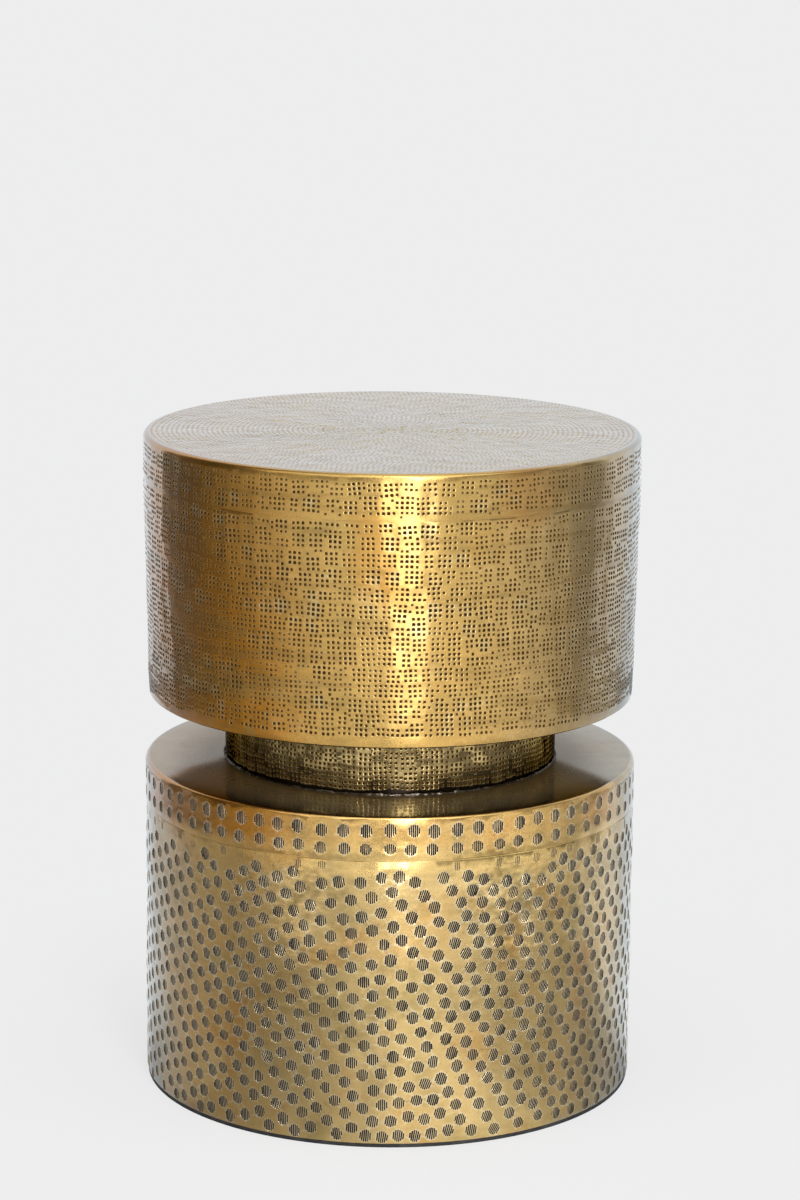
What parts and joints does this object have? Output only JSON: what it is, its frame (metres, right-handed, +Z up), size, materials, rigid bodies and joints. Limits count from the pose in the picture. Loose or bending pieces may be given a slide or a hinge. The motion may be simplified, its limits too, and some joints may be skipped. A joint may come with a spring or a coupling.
{
  "type": "drum side table",
  "caption": "Round side table of two hammered antique-brass drums, one above the other, joined by a narrow neck and standing on black rubber edging.",
  "frame": {"origin": "on the floor, on the axis of the drums", "axes": "+Z up along the axis of the drums; the vertical seams of the rolled sheets face +Y, so -Y is the front"},
  "size_m": [0.42, 0.42, 0.56],
  "materials": {
    "hammered_brass": "hand-hammered and punched sheet with an antique patina in the marks, lacquered",
    "smooth_brass": "smooth antiqued sheet, lacquered",
    "braze": "raw brazed filler, lumpy and darkened",
    "steel": "mild steel flat bar and wire, blackened",
    "rubber": "matt black rubber edging"
  },
  "bodies": {
    "root": {"top_plate": "hammered_brass", "upper_shell": "hammered_brass", "neck_collar": "hammered_brass", "lower_shell": "hammered_brass", "shoulder_plate": "smooth_brass", "upper_floor_plate": "smooth_brass", "upper_seam_strap": "smooth_brass", "neck_seam_strap": "smooth_brass", "lower_seam_strap": "smooth_brass", "neck_lower_bead": "braze", "neck_upper_bead": "braze", "top_lap_braze": "braze", "shoulder_lap_braze": "braze", "upper_floor_tacks": "braze", "base_hoop_tacks": "braze", "upper_rim_wire": "steel", "base_rim_wire": "steel", "base_hoop": "steel", "top_brace_long": "steel", "top_brace_cross": "steel", "top_brace_cleats": "steel", "top_brace_rivets": "steel", "shoulder_brace_long": "steel", "shoulder_brace_cross": "steel", "shoulder_brace_cleats": "steel", "shoulder_brace_rivets": "steel", "rubber_foot_ring": "rubber"}
  },
  "joints": []
}
